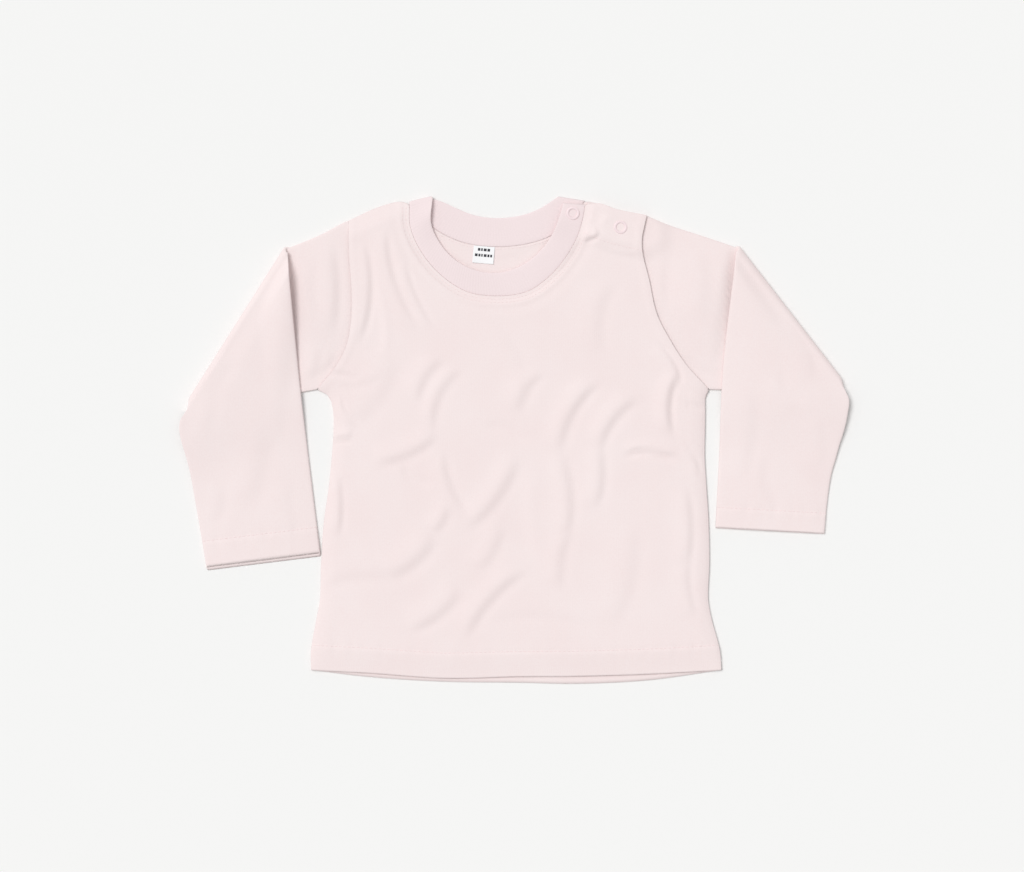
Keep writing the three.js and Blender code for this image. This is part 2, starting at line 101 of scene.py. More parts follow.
# %% The sleeves as they lie: crease from apex to elbow, then the forearm down to the cuff
SLEEVES = {
    "left": {
        "shoulder": table("x y", (-118.9, 155.5), (-131.7, 150.5), (-144.5, 142.4), (-160.8, 136.4)),
        "inner": table("x y", (-161.4, 132.4), (-152.6, 36), (-138.9, -78.8)),
        "outer": table("x y", (-233.6, 19.8), (-237.6, 13.5), (-238.2, 6), (-236.2, -3.5),
                       (-233.2, -14), (-230.6, -25), (-226.8, -47), (-219.7, -88.8)),
        "underarm": (-141.5, 35.0), "apex": (-164.4, 134.2), "elbow": (-236.1, 17.8),
        "cuff_gape": 4.0, "hem": 17.0, "wedge": 6.0, "wedge_reach": 0.3,
        "arch": 1.6, "fall": 9.0},
    "right": {
        "shoulder": table("x y", (93.0, 159.1), (119.6, 147.3), (139.5, 142), (155.6, 136.8)),
        "inner": table("x y", (155.8, 133.0), (146.6, 49), (144.3, -10), (141.6, -61.8)),
        "outer": table("x y", (233.4, 34.6), (236.0, 28), (235.0, 18), (232.8, 7), (229.6, -3.5),
                       (226.8, -14), (223.8, -25), (220.8, -46), (219.0, -66)),
        "underarm": (137.7, 35.0), "apex": (158.7, 134.9), "elbow": (236.1, 32.0),
        "cuff_gape": 1.0, "hem": 14.0, "wedge": 2.6, "wedge_reach": 0.55,
        "arch": 3.6, "fall": 6.5},
}

# %% [markdown]
# ## Creases
# A top that has been folded and smoothed out keeps soft, uneven creases. Each row is one: a ridge (or,
# with a negative height, a trough) that runs from one point to another, bowed sideways, and fades out.

# %% The creases of the front, the back and the sleeves
SMOOTHED_FROM, CREASE_SCALE = (-0.87, 0.5), 0.8
CREASE_COLUMNS = "x0 y0 x1 y1 bow width height"
FRONT_CREASES = table(
    CREASE_COLUMNS,
    (-92, 150, -68, 78, -6, 6, 1.9), (-79, 128, -57, 78, -3, 5, 1.2), (-107, 140, -111, 68, 6, 5, 1.5),
    (-100, 112, -94, 60, 3, 6, -0.9), (-136, 47, -112, 43, 2, 4, 1.8),
    (-130, 40, -94, 46, -4, 6, 0.8), (-130, -1.5, -115, 0.5, 1, 3, 2.6),
    (-124, 30, -110, 12, -3, 4, 1.8),
    (-50, 57, -69, 25, -4, 6, 1.6), (-38, 50, -58, 6, -6, 5, 1.5), (-100, -17, -55, 2, -4, 6, 2.2),
    (-81, -18, -60, -32, -3, 5, 1.6), (-51, -9, -33, -54, -4, 6, 2.2), (3, -12, -34, -64, 5, 6, 1.9),
    (-47, -47, -57, -66, 2, 5, 1.5), (-56, -70, -90, -98, 4, 8, 2.0), (-84, -98, -136, -102, -3, 10, 1.2),
    (-38, -107, -75, -136, 4, 7, 1.7), (8, -93, -35, -142, -5, 6, 1.9), (-9, -61, -25, -93, 3, 6, 1.3),
    (19, 47, 2, 18, -3, 6, 1.6), (60, 41, 32, -10, -6, 6, 2.0), (32, -8, 37, -70, 5, 6, 1.9),
    (39, -66, 33, -106, -3, 6, 1.3), (88, 29, 60, -8, -5, 6, 1.9), (60, -4, 58, -48, 3, 6, 1.7),
    (100, 68, 117, 38, 4, 5, 1.9), (116, 48, 112, 3, -5, 5, 2.4), (120, 27, 134, 23, -1, 4, 1.9),
    (75, -10, 116, -14, 3, 4, 4.0), (118, -3, 131, -24, 2, 4, 1.4), (121, -34, 122, -90, 3, 6, 1.4),
    (122, -86, 128, -126, -2, 6, 1.1), (-126, -24, -125, -68, 2, 5, 1.4), (-20, 88, 6, 30, 8, 9, 0.8),
    (70, 112, 62, 60, -6, 9, 1.0), (-22, 10, 8, -4, 4, 9, 0.9), (84, -60, 70, -132, 6, 10, 0.9),
    (10, -20, 16, -84, -5, 9, -0.8), (-84, 60, -120, 8, 8, 10, 0.9), (-20, -128, 60, -134, 6, 9, 0.7))
PLACKET_CREASES = table(
    CREASE_COLUMNS,
    (59.3, 145.6, 47.9, 141.3, 1, 3.2, 2.4), (58, 140, 90, 134, -3, 4, -0.7), (60, 152, 66, 160, 1, 4, -0.5),
    (82, 152, 88, 143, 1, 4, -0.5), (51, 154, 62, 146, 1, 4, 0.6))
BACK_CREASES = table(
    CREASE_COLUMNS,
    (-60, 130, -20, 112, 4, 9, 0.5), (20, 120, 60, 96, -6, 9, 0.6), (-14, 128, 4, 130, 1, 5, 0.5))
SLEEVE_CREASES = {
    "left": table(
        CREASE_COLUMNS,
        (-131, 142, -129, 76, 3, 6, 1.5), (-143, 130, -140, 84, -3, 6, 0.9), (-139, 66, -146, 44, 2, 5, 1.4),
        (-128, 60, -148, 42, 2, 5, 1.2), (-210, -31, -216, -60, 4, 8, 1.1), (-196, 60, -218, 6, -6, 10, 1.2),
        (-180, 20, -190, -50, 6, 12, 1.0), (-164, 70, -172, -10, 5, 10, 0.9),
        (-160, -30, -152, -66, -4, 8, 0.8)),
    "right": table(
        CREASE_COLUMNS,
        (112, 146, 108, 92, -4, 6, 1.3), (132, 138, 134, 84, 3, 7, 1.2), (128, 70, 142, 52, -2, 5, 1.3),
        (120, 60, 142, 44, -3, 5, 1.3), (186, 48, 204, 26, -4, 8, 1.2), (214, 16, 218, -20, 3, 8, 0.9),
        (166, 40, 160, -30, 5, 10, 1.0), (190, 86, 212, 44, 5, 9, 1.1), (176, -8, 186, -52, -5, 10, 0.8)),
}


def smooth(t):
    """Ease from 0 to 1 as t does."""
    t = np.clip(t, 0.0, 1.0)
    return t * t * (3 - 2 * t)


def crease_height(creases, x, y):
    """Sum of all creases of a table at the points x, y."""
    total = np.zeros_like(x)
    for x0, y0, x1, y1, bow, width, height in zip(*creases.values()):
        along_x, along_y = x1 - x0, y1 - y0
        length = math.hypot(along_x, along_y)
        along_x, along_y = along_x / length, along_y / length
        t = ((x - x0) * along_x + (y - y0) * along_y) / length
        # the cloth was smoothed towards the lower right: each ridge leans over a groove on that side
        lean = along_y * SMOOTHED_FROM[0] - along_x * SMOOTHED_FROM[1]
        across = (x - x0) * along_y - (y - y0) * along_x + bow * 4 * t * (1 - t)
        across = across * (1 if lean > 0 else -1)
        lean = abs(lean)
        fade = smooth(1.15 - np.abs(2 * np.clip(t, 0, 1) - 1) ** 2.2)
        past = np.maximum(np.maximum(-t, t - 1), 0) * length
        from_top = across - 0.8 * width * lean
        flank = np.where(from_top > 0, 1.3, 0.75) * width
        ridge_part = lean * np.exp(-(from_top / flank) ** 2)
        groove_part = (0.9 - 0.5 * lean) * np.exp(-((across + 0.35 * width * lean) / (0.5 * width)) ** 2)
        total += CREASE_SCALE * height * fade * (ridge_part - groove_part) * np.exp(-(past / width) ** 2)
    return total


print("creases on the front:", len(FRONT_CREASES["x0"]))

# %% [markdown]
# ## Smooth outlines
# A curve through a table's rows: a centripetal Catmull-Rom spline, which never overshoots between
# unevenly spaced points. It is read at a fraction of its length, so steps along a seam are even.


# %% Curves
def curve(x, y):
    """A function that gives the point at a fraction of the curve's length."""
    points = np.stack([x, y], axis=1).astype(float)
    points = np.vstack([2 * points[0] - points[1], points, 2 * points[-1] - points[-2]])
    fine = []
    for p0, p1, p2, p3 in zip(points, points[1:], points[2:], points[3:]):
        t0 = 0.0
        t1 = t0 + np.linalg.norm(p1 - p0) ** 0.5
        t2 = t1 + np.linalg.norm(p2 - p1) ** 0.5
        t3 = t2 + np.linalg.norm(p3 - p2) ** 0.5
        t = np.linspace(t1, t2, 40)[:, None]
        a1 = (t1 - t) / (t1 - t0) * p0 + (t - t0) / (t1 - t0) * p1
        a2 = (t2 - t) / (t2 - t1) * p1 + (t - t1) / (t2 - t1) * p2
        a3 = (t3 - t) / (t3 - t2) * p2 + (t - t2) / (t3 - t2) * p3
        b1 = (t2 - t) / (t2 - t0) * a1 + (t - t0) / (t2 - t0) * a2
        b2 = (t3 - t) / (t3 - t1) * a2 + (t - t1) / (t3 - t1) * a3
        fine.append((t2 - t) / (t2 - t1) * b1 + (t - t1) / (t2 - t1) * b2)
    fine = np.vstack(fine)
    steps = np.linalg.norm(np.diff(fine, axis=0), axis=1)
    length = np.concatenate([[0.0], np.cumsum(steps)])

    def at(t):
        """The point, or points, at the fraction t."""
        s = np.clip(t, 0, 1) * length[-1]
        return np.stack([np.interp(s, length, fine[:, 0]), np.interp(s, length, fine[:, 1])], axis=-1)

    return at


def chain(*stretches):
    """Points along several curves, each cut into its own number of steps."""
    rows = []
    for number, (path, steps) in enumerate(stretches):
        rows.append(path(np.linspace(0, 1, steps + 1))[1 if number else 0:])
    return np.vstack(rows)


def eased(steps, ease=0.11):
    """Fractions from 0 to 1, closer together at both ends, where a panel has its seams."""
    t = np.linspace(0, 1, steps + 1)
    return t - ease * np.sin(2 * np.pi * t)


# %% [markdown]
# ## From a net to cloth
# A cut panel is a four-sided net (a Coons patch) between its hem, two sides and top. Its wall is closed:
# an upper face, a lower face, and a rim whose middle is pushed out a little, so a cut edge reads as soft.


# %% Nets and walls
def net(hem, top, left, right, u, v):
    """Points between four edges, at the fractions u across and v upwards."""
    u, v = u[None, :, None], v[:, None, None]
    lengthways = (1 - v) * hem[None] + v * top[None]
    crossways = (1 - u) * left[:, None] + u * right[:, None]
    corners = (1 - v) * ((1 - u) * hem[0] + u * hem[-1]) + v * ((1 - u) * top[0] + u * top[-1])
    return lengthways + crossways - corners


def grid_faces(rows, columns, first, flip=False):
    """Four-sided faces of a net whose vertices start at the number first."""
    r, c = np.mgrid[0:rows - 1, 0:columns - 1]
    a = (first + r * columns + c).ravel()
    faces = np.stack([a, a + 1, a + columns + 1, a + columns], axis=1)
    return faces[:, ::-1] if flip else faces


def make_piece(name, points, faces, material, uv=None):
    """A mesh object from points in mm; uv, in mm too, has one row for each point."""
    points = np.asarray(points, float).copy()
    points[:, :2] += SHIFT
    mesh = bpy.data.meshes.new(name)
    mesh.from_pydata((points * MM).tolist(), [], [list(map(int, face)) for face in faces])
    mesh.validate()
    if uv is not None:
        layer = mesh.uv_layers.new(name="cloth")
        corner = np.empty(len(mesh.loops), int)
        mesh.loops.foreach_get("vertex_index", corner)
        layer.data.foreach_set("uv", (np.asarray(uv, float)[corner] * MM).ravel())
    mesh.polygons.foreach_set("use_smooth", [True] * len(mesh.polygons))
    mesh.materials.append(material)
    mesh.update()
    piece = bpy.data.objects.new(name, mesh)
    bpy.context.scene.collection.objects.link(piece)
    return piece


def wall(name, points, low, high, material, rim_out=0.3, rim_z=None, uv=None):
    """A closed sheet on the net `points`, between the heights low and high."""
    rows, columns = low.shape
    flat = points.reshape(-1, 2)
    count = rows * columns
    border = np.concatenate([
        np.arange(columns), np.arange(1, rows) * columns + columns - 1,
        np.arange(columns - 2, -1, -1) + (rows - 1) * columns, np.arange(rows - 2, 0, -1) * columns])
    edge = flat[border]
    along = np.roll(edge, -1, axis=0) - np.roll(edge, 1, axis=0)
    along /= np.maximum(np.linalg.norm(along, axis=1, keepdims=True), 1e-6)
    out = np.stack([along[:, 1], -along[:, 0]], axis=1)
    middle = (low.ravel()[border] + high.ravel()[border]) / 2
    if rim_z is not None:
        middle = rim_z(edge, middle)
    rim = np.column_stack([edge + out * rim_out, middle])
    vertices = np.vstack([
        np.column_stack([flat, low.ravel()]), np.column_stack([flat, high.ravel()]), rim])
    number = np.arange(len(border))
    after = np.roll(number, -1)
    lower = np.stack([border, border[after], 2 * count + after, 2 * count + number], axis=1)
    upper = np.stack([2 * count + number, 2 * count + after, count + border[after], count + border], axis=1)
    faces = np.vstack([
        grid_faces(rows, columns, 0, flip=True), grid_faces(rows, columns, count), lower, upper])
    if uv is not None:
        cloth = uv.reshape(-1, 2)
        uv = np.vstack([cloth, cloth, cloth[border]])
    return make_piece(name, vertices, faces, material, uv)


def area_of(points):
    """Area of a net in square metres."""
    a, b, c, d = points[:-1, :-1], points[:-1, 1:], points[1:, 1:], points[1:, :-1]
    one, two = c - a, d - b
    return float(np.abs(one[..., 0] * two[..., 1] - one[..., 1] * two[..., 0]).sum() / 2) * MM * MM


# %% [markdown]
# ## Colours and nodes
# Colours are written as sRGB hex, as on a colour card, and turned to the linear values that shaders add
# up. One small helper adds a node, sets it and links it, so each material reads as a short list.


# %% Helpers for materials
def linear(code):
    """An sRGB hex code as linear red, green, blue and alpha."""
    parts = [int(code[i:i + 2], 16) / 255 for i in (1, 3, 5)]
    return tuple(p / 12.92 if p <= 0.04045 else ((p + 0.055) / 1.055) ** 2.4 for p in parts) + (1.0,)


def add_node(tree, kind, links=None, **settings):
    """Add a node; settings are sockets or properties, links are socket -> output socket."""
    node = tree.nodes.new(kind)
    for key, value in settings.items():
        if hasattr(node, key):
            setattr(node, key, value)
        else:
            node.inputs[key.replace("_", " ")].default_value = value
    for key, source in (links or {}).items():
        tree.links.new(source, node.inputs[key])
    return node


def new_material(name):
    """A new material, its node tree and its shader."""
    material = bpy.data.materials.new(name)
    material.use_nodes = True
    tree = material.node_tree
    shader = tree.nodes["Principled BSDF"]
    return material, tree, shader


# %% [markdown]
# ## Cotton jersey
# Single jersey is knitted from fine combed cotton: upright columns of loops, about ten to the
# centimetre. It is matt, with a faint bloom of loose fibre. The loops are drawn a little coarse, at
# 1.3 mm, so that they still show. The dye takes a shade lighter and darker in soft patches.


# %% Jersey and rib
def knit_material(name, colour, deep, column_mm, course_mm, relief_mm, coordinate="Object"):
    """Knitted cloth: loops in columns and courses, dyed a little unevenly."""
    material, tree, shader = new_material(name)
    place = add_node(tree, "ShaderNodeTexCoord").outputs[coordinate]
    patches = add_node(tree, "ShaderNodeTexNoise", {"Vector": place}, Scale=22.0, Detail=3.0, Roughness=0.55)
    flecks = add_node(tree, "ShaderNodeTexNoise", {"Vector": place}, Scale=900.0, Detail=2.0, Roughness=0.6)
    tone = add_node(tree, "ShaderNodeMath", {0: patches.outputs["Fac"], 1: flecks.outputs["Fac"]},
                    operation="ADD")
    spread = add_node(tree, "ShaderNodeMapRange", {"Value": tone.outputs[0]}, From_Min=0.7, From_Max=1.3)
    dye = add_node(tree, "ShaderNodeMix", {"Factor": spread.outputs["Result"]}, data_type="RGBA")
    dye.inputs[6].default_value = linear(deep)
    dye.inputs[7].default_value = linear(colour)
    tree.links.new(dye.outputs[2], shader.inputs["Base Color"])
    wales = add_node(tree, "ShaderNodeTexWave", {"Vector": place}, wave_type="BANDS", bands_direction="X",
                     wave_profile="SIN", Scale=0.314 / (column_mm * MM), Distortion=0.6, Detail=1.0)
    wales.inputs["Detail Scale"].default_value = 0.5
    courses = add_node(tree, "ShaderNodeTexWave", {"Vector": place}, wave_type="BANDS", bands_direction="Y",
                       wave_profile="SIN", Scale=0.314 / (course_mm * MM), Distortion=0.8, Detail=1.0)
    loops = add_node(tree, "ShaderNodeMath", {0: wales.outputs["Fac"], 1: courses.outputs["Fac"]},
                     operation="MULTIPLY_ADD")
    loops.inputs[1].default_value = 0.35
    tree.links.new(courses.outputs["Fac"], loops.inputs[0])
    tree.links.new(wales.outputs["Fac"], loops.inputs[2])
    fuzz = add_node(tree, "ShaderNodeMath", {0: flecks.outputs["Fac"], 1: loops.outputs[0]}, operation="ADD")
    bump = add_node(tree, "ShaderNodeBump", {"Height": fuzz.outputs[0]}, Strength=0.5)
    bump.inputs["Distance"].default_value = relief_mm * MM
    tree.links.new(bump.outputs["Normal"], shader.inputs["Normal"])
    shader.inputs["Roughness"].default_value = 0.92
    shader.inputs["Specular IOR Level"].default_value = 0.25
    shader.inputs["Sheen Weight"].default_value = 0.06
    shader.inputs["Sheen Roughness"].default_value = 0.5
    return material


jersey = knit_material("cotton_jersey_pale_pink", "#f6e9e8", "#f4e4e3", 1.3, 1.0, 0.05)
rib = knit_material("cotton_rib_pale_pink", "#f5e5e6", "#f1e1e2", 1.9, 30.0, 0.11, "UV")


# %% [markdown]
# ## Thread, press studs and label
# Polyester thread is smoother than the cloth and catches a little more light. The studs are enamelled
# brass: hard, smooth, faintly glossy. The label is white satin ribbon, woven so fine that only its
# sheen tells it from paper.


# %% Thread, enamel and satin
def plain_material(name, colour, deep, roughness, specular, grain, relief_mm):
    """A smooth material whose colour and surface vary a little, in grains."""
    material, tree, shader = new_material(name)
    place = add_node(tree, "ShaderNodeTexCoord").outputs["Object"]
    noise = add_node(tree, "ShaderNodeTexNoise", {"Vector": place}, Scale=grain, Detail=2.0)
    blend = add_node(tree, "ShaderNodeMix", {"Factor": noise.outputs["Fac"]}, data_type="RGBA")
    blend.inputs[6].default_value = linear(deep)
    blend.inputs[7].default_value = linear(colour)
    tree.links.new(blend.outputs[2], shader.inputs["Base Color"])
    bump = add_node(tree, "ShaderNodeBump", {"Height": noise.outputs["Fac"]}, Strength=0.4)
    bump.inputs["Distance"].default_value = relief_mm * MM
    tree.links.new(bump.outputs["Normal"], shader.inputs["Normal"])
    shader.inputs["Roughness"].default_value = roughness
    shader.inputs["Specular IOR Level"].default_value = specular
    return material


thread = plain_material("polyester_thread_pink", "#f5e4e4", "#f1dddd", 0.7, 0.4, 2500.0, 0.03)
enamel = plain_material("enamelled_snap_pink", "#f5e3e5", "#f2dee1", 0.35, 0.5, 300.0, 0.01)
satin = plain_material("white_satin_ribbon", "#fbfbfc", "#f7f7f9", 0.55, 0.5, 1800.0, 0.03)
ink = plain_material("grey_label_print", "#4a4a50", "#3c3c42", 0.8, 0.2, 900.0, 0.01)
print("materials:", [m.name for m in bpy.data.materials])

# %% [markdown]
# ## How high the cloth lies
# The front lies on the back with air caught between them, so it stands a little proud away from its
# seams. It rises over the two hidden strips of the placket, dips where a seam pulls it down, and rolls
# up in a soft ridge just outside the neckband, as a stretched neck does.

# %% Heights of the front
SNAPS = {"neck": (40.4, 160.5), "shoulder": (74.1, 150.5)}
SNAP_RADIUS, SNAP_HOLE, SNAP_HEIGHT = 4.7, 2.9, 0.8
HEM_STITCH = 18.0


def from_placket(x, y):
    """Distance from the middle line of the two hidden strips."""
    start, end = np.array([49.0, 158.0]), np.array([91.0, 147.0])
    along = end - start
    t = np.clip(((x - start[0]) * along[0] + (y - start[1]) * along[1]) / (along @ along), 0, 1)
    return np.hypot(x - start[0] - t * along[0], y - start[1] - t * along[1])


def placket_lift(x, y):
    """1 over the hidden strips, fading to 0 beside them."""
    return 1 - smooth((from_placket(x, y) - PLACKET_REACH) / PLACKET_RUNOUT)


def distance_to(path, x, y):
    """Shortest distance from each point to a curve, and how far along the curve that is, in mm."""
    nodes = path(np.linspace(0, 1, 240))
    steps = np.concatenate([[0], np.cumsum(np.linalg.norm(np.diff(nodes, axis=0), axis=1))])
    best, where = np.full(x.shape, 1e9), np.zeros(x.shape)
    for start, end, s in zip(nodes, nodes[1:], steps):
        along = end - start
        size = max(along @ along, 1e-9)
        t = np.clip(((x - start[0]) * along[0] + (y - start[1]) * along[1]) / size, 0, 1)
        away = np.hypot(x - start[0] - t * along[0], y - start[1] - t * along[1])
        nearer = away < best
        best = np.where(nearer, away, best)
        where = np.where(nearer, s + t * math.sqrt(size), where)
    return best, where


def ridge(distance, centre, width):
    """A soft bump at a distance from an edge."""
    return np.exp(-((distance - centre) / width) ** 2)


def puckers(along, pitch, seed):
    """Small uneven gathers along a line of stitches."""
    turn = along * 2 * np.pi / pitch
    return (np.sin(turn + seed) + 0.6 * np.sin(turn / 1.7 + 2 * seed)
            + 0.5 * np.sin(turn / 0.61 + 3 * seed)) / 2


def hem_relief(from_edge, along, depth, seed):
    """A turned-up hem: double cloth up to its stitches, which pull it down unevenly."""
    doubled = 0.45 * (1 - smooth((from_edge - depth + 1.0) / 2.2))
    stitched = -0.35 * ridge(from_edge, depth - 0.2, 1.1) * (1 + 0.4 * puckers(along, 9, seed))
    gathers = 0.16 * puckers(along, 11, seed) * ridge(from_edge, depth - 1, 6.0)
    return doubled + stitched + gathers


neck_seam = curve(BAND_FRONT["seam_x"], BAND_FRONT["seam_y"])
back_seam = curve(BAND_BACK["seam_x"], BAND_BACK["seam_y"])
NECK_SEAM_LENGTH = float(np.linalg.norm(np.diff(neck_seam(np.linspace(0, 1, 240)), axis=0), axis=1).sum())
armhole = {side: curve(ARMHOLES[side + "_x"], ARMHOLES[side + "_y"]) for side in ("left", "right")}
side_seam = {side: curve(SIDES[side], SIDES["y"]) for side in ("left", "right")}
left_shoulder = curve(*LEFT_SHOULDER.values())

# %% [markdown]
# ## The two body panels
# Both are stretched on the same side seams and armholes. The back lies flat, and only its hem, its neck
# and the stretch inside the neckband are ever seen. The front carries the creases.


# %% Panel outlines
SIDE_BAND, NECK_BAND = 4, 12


def outer_neck(band, turn, gap=0.08):
    """The neck edge of a panel, just outside the band's seam; turn picks the side."""
    seam = np.stack([band["seam_x"], band["seam_y"]], axis=1)
    along = np.gradient(seam, axis=0)
    along /= np.linalg.norm(along, axis=1, keepdims=True)
    return seam + turn * gap * np.stack([-along[:, 1], along[:, 0]], axis=1)


def straight_run(start, end, steps):
    """Rows of points from one line to another."""
    t = np.linspace(0, 1, steps + 1)[:, None, None]
    return (1 - t) * start[None] + t * end[None]


def eased_edge(edge, fractions):
    """An edge's points, read again at other fractions."""
    share = np.linspace(0, 1, len(edge))
    return np.stack([np.interp(fractions, share, edge[:, k]) for k in (0, 1)], axis=1)


def body_net(hem_name, neck, shoulder_steps, neck_steps, side_steps, armhole_steps):
    """The points of a body panel, between its hem, its sides and its neck and shoulders."""
    left, right = (np.column_stack(list(rows.values())) for rows in (LEFT_SHOULDER, RIGHT_SHOULDER))
    # each shoulder starts where the neckband ends
    left[0], right[0] = neck[0], neck[-1]
    top = chain((curve(*left[::-1].T), shoulder_steps), (curve(*neck.T), neck_steps),
                (curve(*right.T), shoulder_steps))
    hem = curve(HEMS["x"], HEMS[hem_name])(np.linspace(0, 1, len(top)))
    sides = {side: chain((side_seam[side], side_steps), (armhole[side], armhole_steps))
             for side in ("left", "right")}
    # re-read every edge at eased fractions, so that cells crowd at the seams
    u, v = eased(len(top) - 1), eased(len(sides["left"]) - 1, 0.08)
    points = net(eased_edge(hem, u), eased_edge(top, u), eased_edge(sides["left"], v),
                 eased_edge(sides["right"], v), u, v)
    # even out the inner points, so that no cell folds over beside a sharp corner
    for _ in range(60):
        points[1:-1, 1:-1] = (points[:-2, 1:-1] + points[2:, 1:-1] + points[1:-1, :-2] + points[1:-1, 2:]) / 4
    # beside an edge that curves inwards, cells run straight to it
    points[:, :SIDE_BAND + 1] = straight_run(points[:, 0], points[:, SIDE_BAND], SIDE_BAND).swapaxes(0, 1)
    points[:, -SIDE_BAND - 1:] = straight_run(
        points[:, -SIDE_BAND - 1], points[:, -1], SIDE_BAND).swapaxes(0, 1)
    points[-NECK_BAND - 1:] = straight_run(points[-NECK_BAND - 1], points[-1], NECK_BAND)
    return points


def folded_cells(points):
    """Cells of a net that lie wrong way up: there must be next to none."""
    one, two = points[1:, 1:] - points[:-1, :-1], points[1:, :-1] - points[:-1, 1:]
    return one[..., 0] * two[..., 1] - one[..., 1] * two[..., 0] <= 0


front_net = body_net("front", outer_neck(BAND_FRONT, 1)[::-1], 34, 96, 104, 76)
back_net = body_net("back", outer_neck(BAND_BACK, -1), 14, 60, 50, 40)
print("front net:", front_net.shape, "area, sq m:", round(area_of(front_net), 4))
print("cells folded over, front and back:", folded_cells(front_net).sum(), folded_cells(back_net).sum())


# %% Front
def band_base(t):
    """Height of the neckband's underside at a fraction of its front stretch."""
    rows = BAND_FRONT["base"]
    return np.interp(np.clip(t, 0, 1) * (len(rows) - 1), np.arange(len(rows)), rows)


def front_heights():
    """Heights of the front's underside over the whole net."""
    x, y = front_net[..., 0], front_net[..., 1]
    lift = placket_lift(x, y)
    from_side = np.minimum(*(distance_to(side_seam[side], x, y)[0] for side in side_seam))
    from_neck, along_neck = distance_to(neck_seam, x, y)
    from_armhole = np.minimum(*(distance_to(armhole[side], x, y)[0] for side in armhole))
    from_hem = y - np.interp(x, HEMS["x"], HEMS["front"])
    from_shoulder = distance_to(left_shoulder, x, y)[0]
    rounded = 1 - (1 - np.clip(from_side / 11, 0, 1)) ** 2
    air = (1.7 * rounded + 0.5 * smooth(from_side / 40)) * smooth((from_hem + 4) / 24)
    air *= (0.35 + 0.65 * smooth(from_neck / 16)) * smooth((from_shoulder + 1) / 14)
    creases = crease_height(FRONT_CREASES, x, y) * (1 - 0.85 * lift)
    creases *= smooth(from_neck / 9) * smooth((from_hem - 10) / 14)
    placket = crease_height(PLACKET_CREASES, x, y)
    neck_roll = 0.7 * ridge(from_neck, 5.8, 2.6) + 0.08 * puckers(along_neck, 8, 1.0) * ridge(from_neck, 5, 4)
    seams = 0.25 * ridge(from_armhole, 3.0, 2.4) - 0.3 * ridge(np.minimum(from_side, from_shoulder), 0, 1.6)
    hem = hem_relief(from_hem, x, HEM_STITCH, 2.0)
    presses = sum(-0.45 * np.exp(-((np.hypot(x - sx, y - sy) / 7.5) ** 2)) for sx, sy in SNAPS.values())
    relief = air + creases + placket + neck_roll * (1 - 0.6 * lift) + seams + hem + presses * lift
    own = LAYER + PLACKET_RISE * lift + relief
    # the turned-in edges under the neck seam hold the front level with the band
    level = band_base(along_neck / NECK_SEAM_LENGTH) + RIB - CLOTH
    low = own + (level - own) * (1 - smooth(from_neck / 6))
    strips = 1 - smooth((from_placket(x, y) - PLACKET_REACH) / 1.5)
    return np.maximum(low, 1.0 + strips * (PLACKET_RISE - 0.05))


def rolled_side(edge, middle):
    """The side and left shoulder seams roll over the back's edge; other edges stay as cut."""
    seams = (*side_seam.values(), left_shoulder)
    beside = np.min([distance_to(path, edge[:, 0], edge[:, 1])[0] for path in seams], axis=0)
    return np.where(beside < 0.6, 0.55, middle)


front_low = front_heights()
front_high = front_low + CLOTH
front = wall("front", front_net, front_low, front_high, jersey, 0.05, rolled_side)
print("front:", len(front.data.polygons), "faces, highest", round(float(front_high.max()), 2), "mm")


# %% Back
def back_heights():
    """How far the back's upper face stands above a flat sheet, where it is seen."""
    x, y = back_net[..., 0], back_net[..., 1]
    from_neck, _ = distance_to(back_seam, x, y)
    seen = smooth((y - 100) / 10)
    relief = crease_height(BACK_CREASES, x, y) * seen * smooth(from_neck / 5)
    relief = np.minimum(relief + 0.3 * ridge(from_neck, 0, 3.0) * seen, 0.35)
    return relief


back_relief = back_heights()
back = wall("back", back_net, 0 * back_relief, CLOTH + back_relief, jersey, 0.05)
print("back:", len(back.data.polygons), "faces, area, sq m:", round(area_of(back_net), 4))

# %% [markdown]
# ## Sleeves
# Each sleeve is a flat tube: one wall, open at the armhole and at the cuff. Its sections run from the
# armhole to the crease, turn over there in a half circle, and carry on back down as the forearm, now
# upside down on top. The forearm settles away from the springy crease and comes down past the upper
# sleeve's edge until it lies on the table.

# %% Sleeve sections
UPPER_STEPS, BEND_STEPS, FOREARM_STEPS, AROUND = 46, 14, 84, 52
BEND_AXIS = PAIR + (0.3 + FOLD_LOOP) / 2


def cuff_frame(side):
    """Where the cuff's edge starts, and the way square to it, up the sleeve."""
    start, end = (curve(*SLEEVES[side][edge].values())(np.array(1.0)) for edge in ("inner", "outer"))
    along = (end - start) / np.linalg.norm(end - start)
    return start, np.array([-along[1], along[0]]) * SIGN[side]


